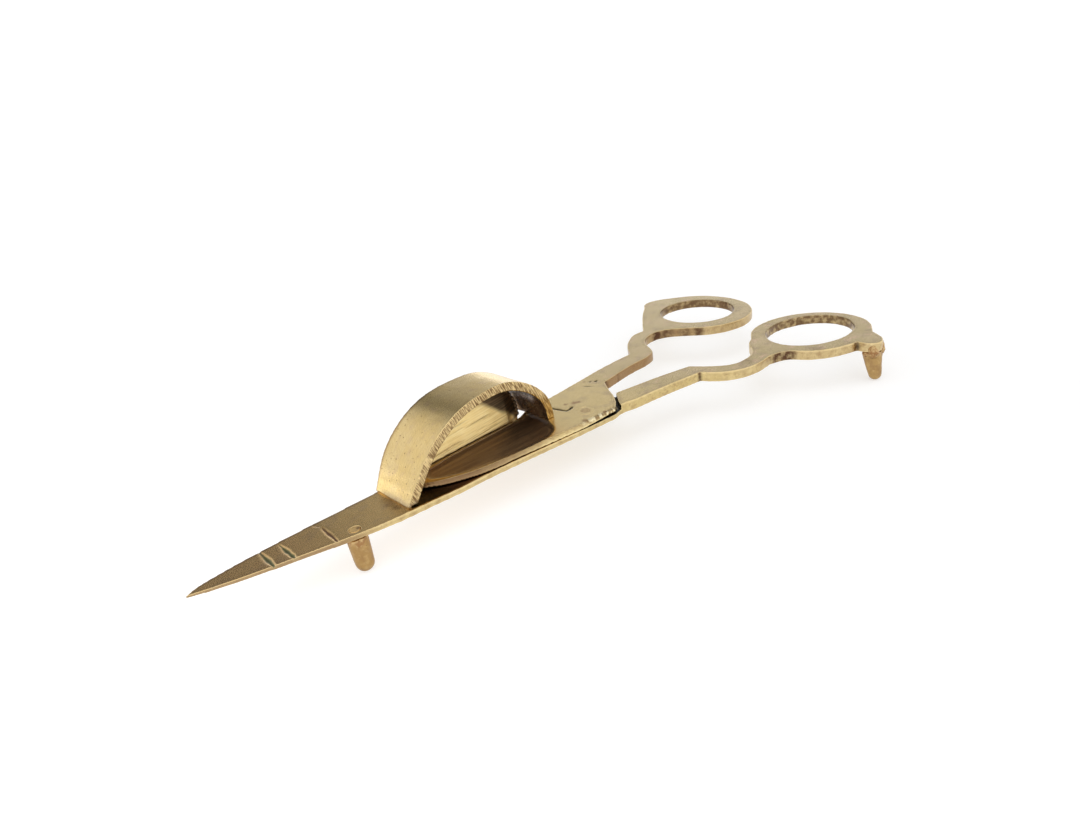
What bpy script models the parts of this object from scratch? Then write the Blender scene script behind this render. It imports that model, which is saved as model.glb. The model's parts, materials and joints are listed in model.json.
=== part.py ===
"""Brass wick trimmer: lap-jointed scissors that carry a small box for the cut wick, on three feet.

+X points to the tip, +Y to the open side of the box, +Z up. The feet stand on z = 0.
Lengths are in millimetres here, and mm() turns them into Blender's metres.
"""
import math

import bmesh
import bpy
from mathutils import Matrix, Vector

# Heights above the surface that the feet stand on
TOP_Z = 10.0
HANDLE_THICKNESS = 2.4
UPPER_LAP_THICKNESS = 0.9
LAP_GAP = 0.3
UNDERSIDE_Z = TOP_Z - HANDLE_THICKNESS
UPPER_LAP_Z = TOP_Z - UPPER_LAP_THICKNESS
LOWER_LAP_Z = UPPER_LAP_Z - LAP_GAP
HOLLOW_DEPTH = 0.4
JOINT_GAP = 0.3
CUTTER_REACH = 3.0

# The pivot and its rivet
PIVOT_X, PIVOT_Y = -2.4, 3.4
RIVET_RADIUS = 1.45
RIVET_HEAD_RADIUS = 1.95
RIVET_HEAD_DEPTH = 0.4
RIVET_CLEARANCE = 0.1
RIVET_STEPS = 32
PLATE_END_RADIUS = 11.0

# Finger rings, each a little uneven: centre x, centre y, half length, half width, turn in degrees
NEAR_RING_OUTSIDE = (-68.4, 18.7, 15.6, 13.8, -18.0)
NEAR_RING_HOLE = (-69.0, 18.2, 12.1, 9.8, -7.0)
FAR_RING_OUTSIDE = (-68.2, -19.6, 14.9, 17.4, 15.0)
FAR_RING_HOLE = (-69.2, -18.3, 10.3, 10.7, 0.0)
RING_HOLE_POINTS = 10

# The wick box. Each station of the arch gives its near edge's x and height, its far edge's x and height, and
# how far the far edge is bent in from the back plate's plane. Heights are above the lower blade.
ARCH_FOOT_X, ARCH_NEAR_Y, ARCH_FAR_Y = 3.8, -0.4, -10.8
ARCH_THICKNESS = 1.9
ARCH_NEAR_TURN = math.radians(6.6)
ARCH_FAR_TURN = math.radians(3.2)
ARCH_STATIONS = [
    (3.2, -1.0, 3.6, -1.0, 0.0), (4.5, 6.0, 5.2, 6.0, 0.0), (8.8, 10.9, 9.4, 11.1, 0.0),
    (15.0, 14.1, 15.2, 14.2, 0.0), (21.0, 14.8, 21.5, 15.0, 0.0), (29.0, 13.7, 29.5, 14.4, 0.0),
    (35.6, 10.5, 36.1, 11.7, 0.1), (40.4, 6.3, 41.8, 6.8, 0.4), (46.2, -1.0, 46.2, -1.0, 1.0),
]
ARCH_STEPS_PER_STATION = 4
BACK_PLATE_THICKNESS = 1.0
BACK_PLATE_INSET = ARCH_THICKNESS + 2 * JOINT_GAP
BACK_PLATE_FOOT = [(39.6, -0.8), (3.4, -0.8), (3.0, 0.9)]

# Decorative file cuts across the long blade: x, y and depth
FILE_CUTS = [(70.4, -2.7, 0.35), (66.9, -2.1, 0.4), (59.7, -1.6, 0.4)]
FILE_CUT_HALF_WIDTH = 0.55
FILE_CUT_LENGTH = 16.0
FILE_CUT_TILT = math.radians(-2.5)

# The long blade thins towards its tip
TIP_RELIEF_X = 50.0
TIP_RELIEF_ANGLE = math.radians(1.1)

# Feet: the front one is held by a tenon through the blade, the rear ones are brazed under the lugs
FRONT_FOOT_X, FRONT_FOOT_Y = 55.3, 1.7
FRONT_FOOT_RADIUS, FRONT_FOOT_END_RADIUS = 2.1, 1.85
FRONT_FOOT_TILT = math.radians(5.0)
TENON_RADIUS, TENON_HEIGHT = 0.8, 1.4
REAR_FOOT_X, REAR_FOOT_Y = -68.8, 35.0
REAR_FOOT_RADIUS, REAR_FOOT_END_RADIUS = 2.3, 1.55
REAR_FOOT_TILT = math.radians(10.0)
REAR_FOOT_DROP = 0.3
FOOT_STEPS = 20
FOOT_BALL_STEPS = 5

CORNER = "VECTOR"
SMOOTH = "AUTO"
OUTLINE_RESOLUTION = 4


def mm(value):
    return value * 0.001


def in_mm(*values):
    return Vector([mm(v) for v in values])


def remove_everything():
    for thing in list(bpy.data.objects):
        bpy.data.objects.remove(thing, do_unlink=True)


def new_collection(name):
    collection = bpy.data.collections.new(name)
    bpy.context.scene.collection.children.link(collection)
    return collection


def brass(name, colour, roughness):
    material = bpy.data.materials.new(name)
    material.use_nodes = True
    shader = material.node_tree.nodes["Principled BSDF"]
    shader.inputs["Base Color"].default_value = (*colour, 1.0)
    shader.inputs["Metallic"].default_value = 1.0
    shader.inputs["Roughness"].default_value = roughness
    return material


def ellipse_arc(ring, start_degrees, end_degrees, points):
    """Smooth outline points along part of a turned ellipse."""
    centre_x, centre_y, half_x, half_y, turn_degrees = ring
    turn = math.radians(turn_degrees)
    arc = []
    for step in range(points):
        angle = math.radians(start_degrees + (end_degrees - start_degrees) * step / (points - 1))
        along = half_x * math.cos(angle)
        across = half_y * math.sin(angle)
        x = centre_x + along * math.cos(turn) - across * math.sin(turn)
        y = centre_y + along * math.sin(turn) + across * math.cos(turn)
        arc.append((x, y, SMOOTH))
    return arc


def full_ellipse(ring, points):
    return ellipse_arc(ring, 0.0, 360.0 * (points - 1) / points, points)


def corners(points):
    return [(x, y, CORNER) for x, y in points]


def add_spline(curve, outline, closed=True):
    spline = curve.splines.new("BEZIER")
    spline.bezier_points.add(len(outline) - 1)
    for point, (x, y, handle) in zip(spline.bezier_points, outline):
        point.co = in_mm(x, y, 0.0)
        point.handle_left_type = handle
        point.handle_right_type = handle
    spline.use_cyclic_u = closed


def mesh_from_curve(curve_object, collection):
    """Replaces a curve object with a welded mesh object of the same name and place."""
    bpy.context.view_layer.update()
    evaluated = curve_object.evaluated_get(bpy.context.evaluated_depsgraph_get())
    mesh = bpy.data.meshes.new_from_object(evaluated)
    place = curve_object.matrix_world.copy()
    name = curve_object.name
    bpy.data.objects.remove(curve_object)
    welded = bmesh.new()
    welded.from_mesh(mesh)
    bmesh.ops.remove_doubles(welded, verts=welded.verts, dist=mm(0.002))
    bmesh.ops.recalc_face_normals(welded, faces=welded.faces)
    welded.to_mesh(mesh)
    welded.free()
    solid = bpy.data.objects.new(name, mesh)
    solid.matrix_world = place
    collection.objects.link(solid)
    return solid


def slab(name, outlines, low_z, high_z, collection):
    """A flat plate with the given outline and holes, between two heights."""
    curve = bpy.data.curves.new(name, "CURVE")
    curve.dimensions = "2D"
    curve.fill_mode = "BOTH"
    curve.resolution_u = OUTLINE_RESOLUTION
    curve.extrude = mm((high_z - low_z) / 2)
    for outline in outlines:
        add_spline(curve, outline)
    curve_object = bpy.data.objects.new(name, curve)
    curve_object.location = in_mm(0.0, 0.0, (low_z + high_z) / 2)
    collection.objects.link(curve_object)
    return mesh_from_curve(curve_object, collection)


def turned(name, profile, steps, collection):
    """A body of revolution about its own Z axis. The profile's radius and height run from top to bottom."""
    mesh = bpy.data.meshes.new(name)
    points = [in_mm(radius, 0.0, height) for radius, height in profile]
    edges = [(i, i + 1) for i in range(len(points) - 1)]
    mesh.from_pydata(points, edges, [])
    body = bpy.data.objects.new(name, mesh)
    collection.objects.link(body)
    screw = body.modifiers.new("turn", "SCREW")
    screw.steps = steps
    screw.render_steps = steps
    screw.use_merge_vertices = True
    screw.merge_threshold = 0.00001
    return body


def as_cutter(solid):
    solid.hide_render = True
    solid.display_type = "WIRE"
    return solid


def cut(body, cutter):
    boolean = body.modifiers.new(cutter.name, "BOOLEAN")
    boolean.operation = "DIFFERENCE"
    boolean.solver = "EXACT"
    boolean.object = as_cutter(cutter)


def finish_part(body, material, smooth_angle=None):
    body.data.materials.clear()
    body.data.materials.append(material)
    if smooth_angle is not None:
        body.data.shade_smooth()
        body.data.set_sharp_from_angle(angle=math.radians(smooth_angle))
    return body


def upper_blade_outline():
    leaf_and_plate = [
        (40.4, -2.0, SMOOTH), (38.2, 0.7, SMOOTH), (33.6, 3.4, SMOOTH), (26.5, 5.5, SMOOTH),
        (19.5, 6.1, SMOOTH), (12.8, 6.8, SMOOTH), (6.3, 7.5, SMOOTH), (-6.6, 8.6, CORNER),
        (-9.2, 6.3, SMOOTH), (-11.9, 2.9, SMOOTH), (-13.7, -0.2, SMOOTH), (-16.5, -4.4, CORNER),
    ]
    inner_scroll = [
        (-26.7, -6.1, SMOOTH), (-36.8, -7.2, SMOOTH), (-38.4, -8.6, SMOOTH), (-42.0, -14.4, SMOOTH),
        (-47.9, -17.0, SMOOTH), (-52.2, -15.6, SMOOTH),
    ]
    lug = [
        (-74.0, -35.3, CORNER), (-71.4, -36.8, SMOOTH), (-68.6, -37.3, SMOOTH),
        (-66.3, -36.5, SMOOTH), (-65.2, -35.2, CORNER),
    ]
    outer_scroll = [
        (-60.2, -31.5, SMOOTH), (-55.4, -27.4, SMOOTH), (-51.4, -23.7, SMOOTH), (-48.5, -20.9, CORNER),
        (-45.0, -21.1, SMOOTH), (-41.4, -19.5, SMOOTH), (-37.6, -16.7, SMOOTH), (-33.6, -12.0, CORNER),
    ]
    far_edge = [
        (-22.6, -11.6, SMOOTH), (-12.6, -10.4, SMOOTH), (-2.7, -9.3, SMOOTH), (5.0, -8.9, CORNER),
        (8.6, -7.0, SMOOTH), (20.0, -6.1, SMOOTH), (33.1, -4.9, SMOOTH),
    ]
    ring = ellipse_arc(FAR_RING_OUTSIDE, 12.0, 226.0, 9)
    return leaf_and_plate + inner_scroll + ring + lug + outer_scroll + far_edge


def lower_blade_outline():
    blade_and_plate = [
        (83.9, -3.8, CORNER), (77.7, -1.5, SMOOTH), (66.7, 1.3, SMOOTH), (58.5, 3.2, SMOOTH),
        (50.5, 4.7, SMOOTH), (39.9, 5.6, SMOOTH), (33.5, 6.1, SMOOTH), (27.5, 6.2, SMOOTH),
        (14.0, 7.2, SMOOTH), (7.0, 7.8, SMOOTH), (-6.6, 8.7, CORNER),
    ]
    outer_scroll = [
        (-9.4, 8.0, SMOOTH), (-12.6, 8.8, SMOOTH), (-19.3, 9.5, SMOOTH), (-32.6, 11.5, CORNER),
        (-34.3, 14.8, SMOOTH), (-37.4, 18.0, SMOOTH), (-43.0, 20.0, SMOOTH), (-49.3, 19.7, CORNER),
    ]
    lug = [
        (-66.4, 32.6, CORNER), (-66.6, 35.6, SMOOTH), (-68.2, 37.1, SMOOTH), (-71.0, 36.5, SMOOTH),
        (-73.0, 34.4, SMOOTH), (-74.4, 32.2, CORNER),
    ]
    inner_scroll = [
        (-53.9, 10.2, SMOOTH), (-49.4, 14.4, SMOOTH), (-44.1, 15.8, SMOOTH), (-40.4, 15.0, SMOOTH),
        (-37.6, 12.3, SMOOTH), (-34.3, 6.8, CORNER), (-26.2, 4.8, SMOOTH), (-13.2, 2.4, CORNER),
    ]
    pivot = (PIVOT_X, PIVOT_Y, PLATE_END_RADIUS, PLATE_END_RADIUS, 0.0)
    plate_end = ellipse_arc(pivot, 190.0, 246.0, 5)
    far_edge = [
        (-1.0, -9.0, SMOOTH), (7.0, -9.3, SMOOTH), (27.5, -8.2, SMOOTH), (45.9, -7.2, SMOOTH),
        (70.7, -6.4, SMOOTH), (79.2, -5.5, SMOOTH), (82.2, -4.8, SMOOTH),
    ]
    near_side = ellipse_arc(NEAR_RING_OUTSIDE, 32.0, 92.0, 4)
    back_side = ellipse_arc(NEAR_RING_OUTSIDE, 134.0, 336.0, 9)
    handle = outer_scroll + near_side + lug + back_side + inner_scroll
    return blade_and_plate + handle + plate_end + far_edge


def rivet_profile(clearance, overshoot):
    """Countersunk at both ends, with its faces flush with the plates when the overshoot is zero."""
    head = RIVET_HEAD_RADIUS + clearance
    shank = RIVET_RADIUS + clearance
    high = TOP_Z + overshoot
    low = UNDERSIDE_Z - overshoot
    return [
        (0.0, high), (head, high), (head, TOP_Z - clearance), (shank, TOP_Z - RIVET_HEAD_DEPTH - clearance),
        (shank, UNDERSIDE_Z + RIVET_HEAD_DEPTH + clearance), (head, UNDERSIDE_Z + clearance),
        (head, low), (0.0, low),
    ]


def make_pivot_rivet(parts, material):
    rivet = turned("pivot_rivet", rivet_profile(0.0, 0.0), RIVET_STEPS, parts)
    rivet.location = in_mm(PIVOT_X, PIVOT_Y, 0.0)
    return finish_part(rivet, material, 30.0)


def make_rivet_cutter(cutters):
    hole = turned("rivet_hole", rivet_profile(RIVET_CLEARANCE, CUTTER_REACH), RIVET_STEPS, cutters)
    hole.location = in_mm(PIVOT_X, PIVOT_Y, 0.0)
    return hole


def make_upper_blade(parts, cutters, rivet_hole, material):
    outlines = [upper_blade_outline(), full_ellipse(FAR_RING_HOLE, RING_HOLE_POINTS)]
    blade = slab("upper_blade", outlines, UNDERSIDE_Z, TOP_Z, parts)
    lap = corners([(-18.6, -1.2), (-13.2, -13.4), (50.0, -16.0), (50.0, 16.0), (-18.6, 16.0)])
    cut(blade, slab("upper_lap", [lap], UNDERSIDE_Z - CUTTER_REACH, UPPER_LAP_Z, cutters))
    hollow = [
        (36.9, -2.2, SMOOTH), (32.0, 2.6, SMOOTH), (25.0, 4.6, SMOOTH), (12.6, 5.7, SMOOTH),
        (8.2, 4.8, SMOOTH), (6.1, 1.4, SMOOTH), (5.4, -2.5, SMOOTH), (5.8, -6.4, SMOOTH),
        (8.4, -6.2, SMOOTH), (20.0, -5.3, SMOOTH), (32.0, -4.2, SMOOTH),
    ]
    cut(blade, slab("leaf_hollow", [hollow], TOP_Z - HOLLOW_DEPTH, TOP_Z + CUTTER_REACH, cutters))
    cut(blade, rivet_hole)
    return finish_part(blade, material)


def block(name, low, high, collection):
    """A box between two corners, with its origin at the world's."""
    bpy.ops.mesh.primitive_cube_add(size=1.0)
    box = bpy.context.object
    box.name = name
    low, high = in_mm(*low), in_mm(*high)
    scale = Matrix.Diagonal(high - low).to_4x4()
    box.data.transform(Matrix.Translation((low + high) / 2) @ scale)
    for other in list(box.users_collection):
        other.objects.unlink(box)
    collection.objects.link(box)
    return box


def make_file_cutter(index, place, cutters):
    """A square bar turned on edge, so that it leaves a V across the blade."""
    x, y, depth = place
    width, length = FILE_CUT_HALF_WIDTH, FILE_CUT_LENGTH / 2
    bar = block(f"file_cut_{index}", (-width, -length, -width), (width, length, width), cutters)
    bar.rotation_euler = (FILE_CUT_TILT, math.radians(45.0), 0.0)
    rise = FILE_CUT_HALF_WIDTH * math.sqrt(2.0) - depth
    bar.location = in_mm(x, y, LOWER_LAP_Z + rise)
    return bar


def make_tip_relief(cutters):
    wedge = block("tip_relief", (0.0, -15.0, -4.0), (45.0, 15.0, 0.0), cutters)
    wedge.location = in_mm(TIP_RELIEF_X, 0.0, UNDERSIDE_Z)
    wedge.rotation_euler.y = -TIP_RELIEF_ANGLE
    return wedge


def make_lower_blade(parts, cutters, rivet_hole, material):
    outlines = [lower_blade_outline(), full_ellipse(NEAR_RING_HOLE, RING_HOLE_POINTS)]
    blade = slab("lower_blade", outlines, UNDERSIDE_Z, TOP_Z, parts)
    lap = corners([
        (-15.0, 0.6), (-13.0, 2.7), (-10.6, 5.7), (-9.2, 7.6), (-8.9, 16.0), (90.0, 16.0), (90.0, -16.0),
        (-15.0, -16.0),
    ])
    cut(blade, slab("lower_lap", [lap], LOWER_LAP_Z, TOP_Z + CUTTER_REACH, cutters))
    cut(blade, rivet_hole)
    hole_radius = TENON_RADIUS + JOINT_GAP
    hole_profile = [(0.0, TOP_Z), (hole_radius, TOP_Z), (hole_radius, 0.0), (0.0, 0.0)]
    tenon_hole = turned("tenon_hole", hole_profile, FOOT_STEPS, cutters)
    tenon_hole.location = in_mm(FRONT_FOOT_X, FRONT_FOOT_Y, 0.0)
    cut(blade, tenon_hole)
    cut(blade, make_tip_relief(cutters))
    for index, place in enumerate(FILE_CUTS):
        cut(blade, make_file_cutter(index, place, cutters))
    return finish_part(blade, material)


def smooth_path(points, steps):
    """Points along a Catmull-Rom curve through the given ones."""
    padded = [points[0]] + points + [points[-1]]
    path = []
    for before, start, end, after in zip(padded, padded[1:], padded[2:], padded[3:]):
        for step in range(steps):
            t = step / steps
            first = (end - before) * 0.5 * t
            second = (before - start * 2.5 + end * 2 - after * 0.5) * t * t
            third = (start * 1.5 - before * 0.5 - end * 1.5 + after * 0.5) * t * t * t
            path.append(start + first + second + third)
    path.append(points[-1])
    return path


def arch_edges():
    """The strip's near and far edges as smooth paths, in millimetres."""
    near_slope, far_slope = math.tan(ARCH_NEAR_TURN), math.tan(ARCH_FAR_TURN)
    near, far = [], []
    for near_x, near_height, far_x, far_height, bent_in in ARCH_STATIONS:
        near_y = ARCH_NEAR_Y + (near_x - ARCH_FOOT_X) * near_slope
        far_y = ARCH_FAR_Y + (far_x - ARCH_FOOT_X) * far_slope + bent_in
        near.append(Vector((near_x, near_y, LOWER_LAP_Z + near_height)))
        far.append(Vector((far_x, far_y, LOWER_LAP_Z + far_height)))
    return smooth_path(near, ARCH_STEPS_PER_STATION), smooth_path(far, ARCH_STEPS_PER_STATION)


def make_box_arch(parts, cutters, material):
    """A strip bent over the leaf blade. Its right leg stops above the upper blade, which slides under it."""
    near, far = arch_edges()
    corners_in_order = [in_mm(*point) for pair in zip(near, far) for point in pair]
    faces = [(2 * i, 2 * i + 1, 2 * i + 3, 2 * i + 2) for i in range(len(near) - 1)]
    mesh = bpy.data.meshes.new("box_arch")
    mesh.from_pydata(corners_in_order, [], faces)
    arch = bpy.data.objects.new("box_arch", mesh)
    parts.objects.link(arch)
    solidify = arch.modifiers.new("thickness", "SOLIDIFY")
    solidify.thickness = mm(ARCH_THICKNESS)
    solidify.offset = -1.0
    solidify.use_even_offset = True
    right_leg = block("right_leg_end", (0.0, -16.0, 0.0), (12.0, 8.0, TOP_Z + JOINT_GAP), cutters)
    cut(arch, right_leg)
    left_leg = block("left_leg_end", (38.0, -16.0, 0.0), (52.0, 8.0, LOWER_LAP_Z + JOINT_GAP), cutters)
    cut(arch, left_leg)
    return finish_part(arch, material, 30.0)


def inset_profile(points, distance):
    """The profile moved inwards, to the right of its direction of travel, by a distance."""
    moved = []
    for before, point, after in zip(points, points[1:], points[2:]):
        along = (after - before).normalized()
        moved.append((point.x + along.y * distance, point.y - along.x * distance, SMOOTH))
    return moved


def make_box_back_plate(parts, material):
    """A D-shaped wall that fills the arch's far side, soldered to the lower blade's edge."""
    far_edge = [Vector((far_x - ARCH_FOOT_X, height)) for _, _, far_x, height, _ in ARCH_STATIONS]
    outline = inset_profile(far_edge, BACK_PLATE_INSET) + corners(BACK_PLATE_FOOT)
    half = BACK_PLATE_THICKNESS / 2
    plate = slab("box_back_plate", [outline], -half, half, parts)
    plate.rotation_euler = (math.radians(90.0), 0.0, ARCH_FAR_TURN)
    plate.location = in_mm(ARCH_FOOT_X, ARCH_FAR_Y + half, LOWER_LAP_Z)
    return finish_part(plate, material)


def foot_profile(top_radius, end_radius, length, tenon_height):
    """A tapered peg with a round end, its shoulder at height 0 and a tenon above it if that has a height."""
    profile = [(0.0, 0.0), (top_radius, 0.0)]
    if tenon_height:
        profile = [(0.0, tenon_height), (TENON_RADIUS, tenon_height), (TENON_RADIUS, 0.0), (top_radius, 0.0)]
    ball_z = -length + end_radius
    for step in range(FOOT_BALL_STEPS + 1):
        angle = math.radians(90.0 * step / FOOT_BALL_STEPS)
        profile.append((end_radius * math.cos(angle), ball_z - end_radius * math.sin(angle)))
    profile[-1] = (0.0, -length)
    return profile


def make_front_foot(parts, material):
    shoulder_z = UNDERSIDE_Z - JOINT_GAP
    length = shoulder_z / math.cos(FRONT_FOOT_TILT)
    profile = foot_profile(FRONT_FOOT_RADIUS, FRONT_FOOT_END_RADIUS, length, TENON_HEIGHT)
    foot = turned("front_foot", profile, FOOT_STEPS, parts)
    foot.location = in_mm(FRONT_FOOT_X, FRONT_FOOT_Y, shoulder_z)
    foot.rotation_euler.x = FRONT_FOOT_TILT
    return finish_part(foot, material, 40.0)


def make_rear_foot(name, side, parts, material):
    """Side is 1 for the near ring's foot and -1 for the far ring's. The foot splays outwards."""
    shoulder_z = UNDERSIDE_Z - JOINT_GAP - REAR_FOOT_DROP
    length = (shoulder_z - REAR_FOOT_END_RADIUS) / math.cos(REAR_FOOT_TILT) + REAR_FOOT_END_RADIUS
    profile = foot_profile(REAR_FOOT_RADIUS, REAR_FOOT_END_RADIUS, length, 0.0)
    foot = turned(name, profile, FOOT_STEPS, parts)
    foot.location = in_mm(REAR_FOOT_X, REAR_FOOT_Y * side, shoulder_z)
    foot.rotation_euler.x = REAR_FOOT_TILT * side
    return finish_part(foot, material, 40.0)


def hang_on(empty, *pieces):
    bpy.context.view_layer.update()
    for piece in pieces:
        piece.parent = empty
        piece.matrix_parent_inverse = empty.matrix_world.inverted()


def make_pivot_axis(parts):
    axis = bpy.data.objects.new("pivot_axis", None)
    axis.location = in_mm(PIVOT_X, PIVOT_Y, TOP_Z)
    parts.objects.link(axis)
    return axis


def main():
    remove_everything()
    parts = new_collection("wick_trimmer")
    cutters = new_collection("cutters")
    flat_brass = brass("brass_flat", (0.50, 0.41, 0.24), 0.38)
    box_brass = brass("brass_box", (0.60, 0.45, 0.20), 0.33)
    cast_brass = brass("brass_cast", (0.52, 0.37, 0.16), 0.42)
    rivet_hole = make_rivet_cutter(cutters)
    make_lower_blade(parts, cutters, rivet_hole, flat_brass)
    upper_blade = make_upper_blade(parts, cutters, rivet_hole, flat_brass)
    make_pivot_rivet(parts, flat_brass)
    make_box_arch(parts, cutters, box_brass)
    make_box_back_plate(parts, box_brass)
    make_front_foot(parts, cast_brass)
    make_rear_foot("rear_foot_near", 1, parts, cast_brass)
    far_foot = make_rear_foot("rear_foot_far", -1, parts, cast_brass)
    hang_on(make_pivot_axis(parts), upper_blade, far_foot)


main()
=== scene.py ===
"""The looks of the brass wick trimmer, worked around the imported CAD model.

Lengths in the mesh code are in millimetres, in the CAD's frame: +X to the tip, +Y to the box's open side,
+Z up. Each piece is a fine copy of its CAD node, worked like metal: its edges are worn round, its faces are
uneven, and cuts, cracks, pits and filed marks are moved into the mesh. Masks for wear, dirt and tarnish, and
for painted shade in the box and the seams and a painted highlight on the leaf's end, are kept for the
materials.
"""

import json
import math

import bmesh
import bpy
import numpy as np
from mathutils import Matrix, Vector


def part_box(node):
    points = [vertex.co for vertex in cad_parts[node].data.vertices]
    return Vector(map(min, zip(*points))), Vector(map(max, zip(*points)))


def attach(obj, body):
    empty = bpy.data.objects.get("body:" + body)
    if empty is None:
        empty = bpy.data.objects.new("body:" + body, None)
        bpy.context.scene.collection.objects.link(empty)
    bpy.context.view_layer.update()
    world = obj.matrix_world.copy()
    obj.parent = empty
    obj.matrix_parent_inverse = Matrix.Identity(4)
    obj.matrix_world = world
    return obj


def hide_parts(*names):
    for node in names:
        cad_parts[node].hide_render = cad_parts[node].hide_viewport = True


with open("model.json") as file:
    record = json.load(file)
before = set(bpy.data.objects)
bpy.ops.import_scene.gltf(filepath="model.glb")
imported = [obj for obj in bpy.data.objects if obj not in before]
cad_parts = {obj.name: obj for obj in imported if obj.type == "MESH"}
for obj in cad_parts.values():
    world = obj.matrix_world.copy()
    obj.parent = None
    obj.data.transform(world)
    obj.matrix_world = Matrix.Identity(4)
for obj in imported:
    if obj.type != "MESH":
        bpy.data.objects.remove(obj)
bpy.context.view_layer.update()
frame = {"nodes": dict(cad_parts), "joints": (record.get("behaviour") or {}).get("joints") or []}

MM = 0.001
# Vertices of a CAD node that are nearer than this, in metres, are joined
WELD = 0.000002
# Sharper edges of a CAD node than this stay corners
CORNER_ANGLE = math.radians(24.0)

# The step of each fine copy's mesh
PLATE_VOXEL = 0.2
ARCH_VOXEL = 0.14
BACK_VOXEL = 0.16
FOOT_VOXEL = 0.12

# The part's two bodies
LOWER, UPPER = "lower_half", "upper_half"

PIVOT = Vector(frame["joints"][0]["pos_m"]) / MM
TIP_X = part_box("lower_blade")[1].x / MM
# The z of the lower blade's top and of the upper plate's
BLADE_TOP = 8.8
PLATE_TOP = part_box("upper_blade")[1].z / MM
NOISE_CELLS = 32
# How far averaging moves a vertex, inwards at a full edge and outwards at a full corner
EDGE_DROP = 0.09
CORNER_RISE = 0.07


# ---------------------------------------------------------------- mesh tools

def get_points(mesh):
    """The vertices as rows of x, y and z in millimetres."""
    flat = np.empty(len(mesh.vertices) * 3, np.float32)
    mesh.vertices.foreach_get("co", flat)
    return flat.reshape(-1, 3).astype(float) / MM


def set_points(mesh, points):
    mesh.vertices.foreach_set("co", (points * MM).astype(np.float32).ravel())
    mesh.update()


def get_normals(mesh):
    flat = np.empty(len(mesh.vertices) * 3, np.float32)
    mesh.vertex_normals.foreach_get("vector", flat)
    return flat.reshape(-1, 3).astype(float)


def get_edges(mesh):
    flat = np.empty(len(mesh.edges) * 2, np.int32)
    mesh.edges.foreach_get("vertices", flat)
    return flat.reshape(-1, 2)


def averaged(values, edges, rounds, weight=0.5):
    """Moves each vertex's values towards the mean of its neighbours', some number of times."""
    size = len(values)
    count = np.maximum(np.bincount(edges.ravel(), minlength=size), 1)
    values = values.copy()
    for _ in range(rounds):
        for column in values.T:
            total = np.bincount(edges[:, 0], column[edges[:, 1]], size)
            total += np.bincount(edges[:, 1], column[edges[:, 0]], size)
            column += (total / count - column) * weight
    return values


def measure(mesh, name, values):
    """Keeps one number for each vertex, which a material reads by name."""
    layer = mesh.attributes.get(name) or mesh.attributes.new(name, "FLOAT", "POINT")
    layer.data.foreach_set("value", values.astype(np.float32))


def mask(mesh, name, values):
    measure(mesh, name, np.clip(values, 0.0, 1.0))


def ease(values, low, high):
    """0 below low, 1 above high and smooth between."""
    t = np.clip((values - low) / (high - low), 0.0, 1.0)
    return t * t * (3.0 - 2.0 * t)


class Noise:
    """Smooth random values from -1 to 1, on a lattice whose spacing is given in millimetres."""

    def __init__(self, seed, *cell):
        self.lattice = np.random.default_rng(seed).uniform(-1.0, 1.0, (NOISE_CELLS,) * 3)
        self.cell = np.array(cell)

    def at(self, points):
        place = points / self.cell
        corner = np.floor(place).astype(int)
        part = place - corner
        part = part * part * (3.0 - 2.0 * part)
        value = np.zeros(len(points))
        for step in np.ndindex(2, 2, 2):
            index = (corner + step) % NOISE_CELLS
            share = np.prod(np.where(step, part, 1.0 - part), axis=1)
            value += share * self.lattice[index[:, 0], index[:, 1], index[:, 2]]
        return value


def from_path(points, path):
    """Each point's distance from a path of points, and how far along the path it is, from 0 to 1."""
    best = np.full(len(points), np.inf)
    place = np.zeros(len(points))
    lengths = [math.dist(a, b) for a, b in zip(path, path[1:])]
    done = 0.0
    for start, end, length in zip(path, path[1:], lengths):
        start, end = np.array(start), np.array(end)
        t = np.clip((points - start) @ (end - start) / length ** 2, 0.0, 1.0)
        gap = np.linalg.norm(points - start - t[:, None] * (end - start), axis=1)
        nearer = gap < best
        best[nearer] = gap[nearer]
        place[nearer] = (done + t[nearer] * length) / sum(lengths)
        done += length
    return best, place


def near_spots(points, spots):
    """1 at the middle of each spot of x, y and radius, in plan, and 0 outside them all."""
    nearest = np.zeros(len(points))
    for x, y, radius in spots:
        gap = np.hypot(points[:, 0] - x, points[:, 1] - y)
        nearest = np.maximum(nearest, ease(-gap, -radius, -0.35 * radius))
    return nearest


# ---------------------------------------------------------------- pieces

def evaluated_mesh(piece):
    bpy.context.view_layer.update()
    depsgraph = bpy.context.evaluated_depsgraph_get()
    return bpy.data.meshes.new_from_object(piece.evaluated_get(depsgraph))


def settle(piece, voxel):
    """Gives a closed cage an even fine mesh and drops its modifiers."""
    remesh = piece.modifiers.new("voxels", "REMESH")
    remesh.mode = "VOXEL"
    remesh.voxel_size = voxel * MM
    fine = evaluated_mesh(piece)
    piece.modifiers.clear()
    piece.data = fine
    fine.name = piece.name
    fine.shade_smooth()
    return piece


def new_object(name, data):
    made = bpy.data.objects.new(name, data)
    bpy.context.scene.collection.objects.link(made)
    return made


def add_ball(cage, centre, radius):
    place = Matrix.Translation(Vector(centre) * MM)
    bmesh.ops.create_icosphere(cage, subdivisions=2, radius=radius * MM, matrix=place)


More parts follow.
